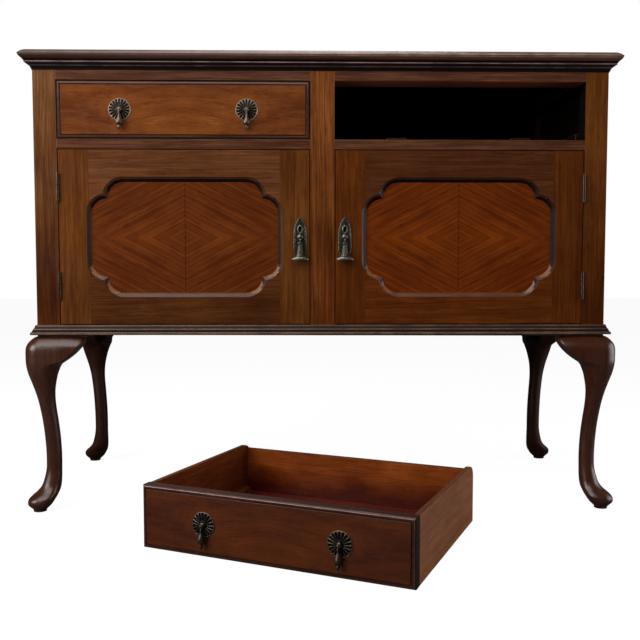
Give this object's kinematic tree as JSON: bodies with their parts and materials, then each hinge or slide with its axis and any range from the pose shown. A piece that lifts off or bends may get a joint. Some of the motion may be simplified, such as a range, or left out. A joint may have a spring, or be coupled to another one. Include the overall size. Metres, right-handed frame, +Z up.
{
  "type": "sideboard",
  "caption": "Sideboard on cabriole legs: drawers over cupboards with shaped panel doors, drop handles and a moulded top; one drawer stands on the floor in front of it.",
  "frame": {"origin": "on the floor, in the middle of the width, under the centre line of the front corner posts; with the drawer that stands in front of the cabinet, this is the middle of the footprint", "axes": "+X to the right as seen from the front, +Y from the front to the back, +Z up"},
  "size_m": [1.21, 0.9151, 0.931],
  "materials": {
    "case_wood": "satin French polish",
    "top_wood": "satin French polish",
    "moulding_wood": "satin French polish",
    "leg_wood": "satin French polish",
    "front_wood": "satin French polish",
    "panel_veneer": "satin French polish",
    "drawer_wood": "dull stain",
    "inside_wood": "dull",
    "back_wood": "dull",
    "aged_brass": "dark antique patina",
    "steel": "dull"
  },
  "bodies": {
    "carcass": {"top_board": "top_wood", "cornice_moulding": "moulding_wood", "front_posts": "case_wood", "centre_post": "case_wood", "rear_posts": "case_wood", "end_panels": "case_wood", "top_rails": "case_wood", "drawer_rails": "case_wood", "partition": "inside_wood", "dust_boards": "inside_wood", "drawer_runners": "inside_wood", "drawer_guides": "inside_wood", "drawer_kickers": "inside_wood", "drawer_stops": "inside_wood", "back_panel": "back_wood", "back_screws": "steel", "bottom_board": "inside_wood", "base_moulding": "moulding_wood", "stand_frame": "inside_wood", "front_left_leg": "leg_wood", "front_right_leg": "leg_wood", "rear_left_leg": "leg_wood", "rear_right_leg": "leg_wood", "knee_wings": "leg_wood", "hinge_post_leaves": "aged_brass", "hinge_pins": "aged_brass"},
    "left_drawer": {"left_drawer_front": "front_wood", "left_drawer_sides": "drawer_wood", "left_drawer_back": "drawer_wood", "left_drawer_bottom": "drawer_wood", "left_drawer_slips": "drawer_wood", "left_drawer_rosettes": "aged_brass"},
    "left_door": {"left_door_stiles": "front_wood", "left_door_rails": "front_wood", "left_door_panel": "panel_veneer", "left_panel_moulding": "front_wood", "left_hinge_leaves": "aged_brass", "left_lock_case": "steel", "left_handle_plate": "aged_brass"},
    "left_bolt": {"left_lock_bolt": "steel"},
    "left_handle": {"left_handle_drop": "aged_brass"},
    "left_drawer_pull_1": {"left_drawer_drop_1": "aged_brass"},
    "left_drawer_pull_2": {"left_drawer_drop_2": "aged_brass"},
    "right_drawer": {"right_drawer_front": "front_wood", "right_drawer_sides": "drawer_wood", "right_drawer_back": "drawer_wood", "right_drawer_bottom": "drawer_wood", "right_drawer_slips": "drawer_wood", "right_drawer_rosettes": "aged_brass"},
    "right_door": {"right_door_stiles": "front_wood", "right_door_rails": "front_wood", "right_door_panel": "panel_veneer", "right_panel_moulding": "front_wood", "right_hinge_leaves": "aged_brass", "right_lock_case": "steel", "right_handle_plate": "aged_brass"},
    "right_bolt": {"right_lock_bolt": "steel"},
    "right_handle": {"right_handle_drop": "aged_brass"},
    "right_drawer_pull_1": {"right_drawer_drop_1": "aged_brass"},
    "right_drawer_pull_2": {"right_drawer_drop_2": "aged_brass"}
  },
  "joints": [
    {"name": "left_drawer_slide", "type": "slide", "parent": "carcass", "child": "left_drawer", "axis": [0, -1, 0], "range_m": [0, 0.3]},
    {"name": "left_door_hinge", "type": "hinge", "parent": "carcass", "child": "left_door", "pos_m": [-0.533, -0.0223, 0.56075], "axis": [0, 0, -1], "range_deg": [0, 165]},
    {"name": "left_lock", "type": "slide", "parent": "left_door", "child": "left_bolt", "axis": [1, 0, 0], "range_m": [0, 0.007]},
    {"name": "left_handle_swing", "type": "hinge", "parent": "left_door", "child": "left_handle", "pos_m": [-0.0455, -0.0285, 0.555], "axis": [-1, 0, 0], "range_deg": [-2, 95]},
    {"name": "left_drawer_pull_1_swing", "type": "hinge", "parent": "left_drawer", "child": "left_drawer_pull_1", "pos_m": [-0.40625, -0.0314, 0.8153], "axis": [-1, 0, 0], "range_deg": [-3, 95]},
    {"name": "left_drawer_pull_2_swing", "type": "hinge", "parent": "left_drawer", "child": "left_drawer_pull_2", "pos_m": [-0.15225, -0.0314, 0.8153], "axis": [-1, 0, 0], "range_deg": [-3, 95]},
    {"name": "right_drawer_lift", "type": "slide", "parent": "carcass", "child": "right_drawer", "axis": [0, 0, 1], "range_m": [0, 0.2]},
    {"name": "right_door_hinge", "type": "hinge", "parent": "carcass", "child": "right_door", "pos_m": [0.533, -0.0223, 0.56075], "axis": [0, 0, 1], "range_deg": [0, 165]},
    {"name": "right_lock", "type": "slide", "parent": "right_door", "child": "right_bolt", "axis": [-1, 0, 0], "range_m": [0, 0.007]},
    {"name": "right_handle_swing", "type": "hinge", "parent": "right_door", "child": "right_handle", "pos_m": [0.0455, -0.0285, 0.555], "axis": [-1, 0, 0], "range_deg": [-2, 95]},
    {"name": "right_drawer_pull_1_swing", "type": "hinge", "parent": "right_drawer", "child": "right_drawer_pull_1", "pos_m": [-0.2156, -0.31073, 0.057], "axis": [-0.9092, 0.4163, 0], "range_deg": [-3, 95]},
    {"name": "right_drawer_pull_2_swing", "type": "hinge", "parent": "right_drawer", "child": "right_drawer_pull_2", "pos_m": [0.01535, -0.41646, 0.057], "axis": [-0.9092, 0.4163, 0], "range_deg": [-3, 95]}
  ]
}
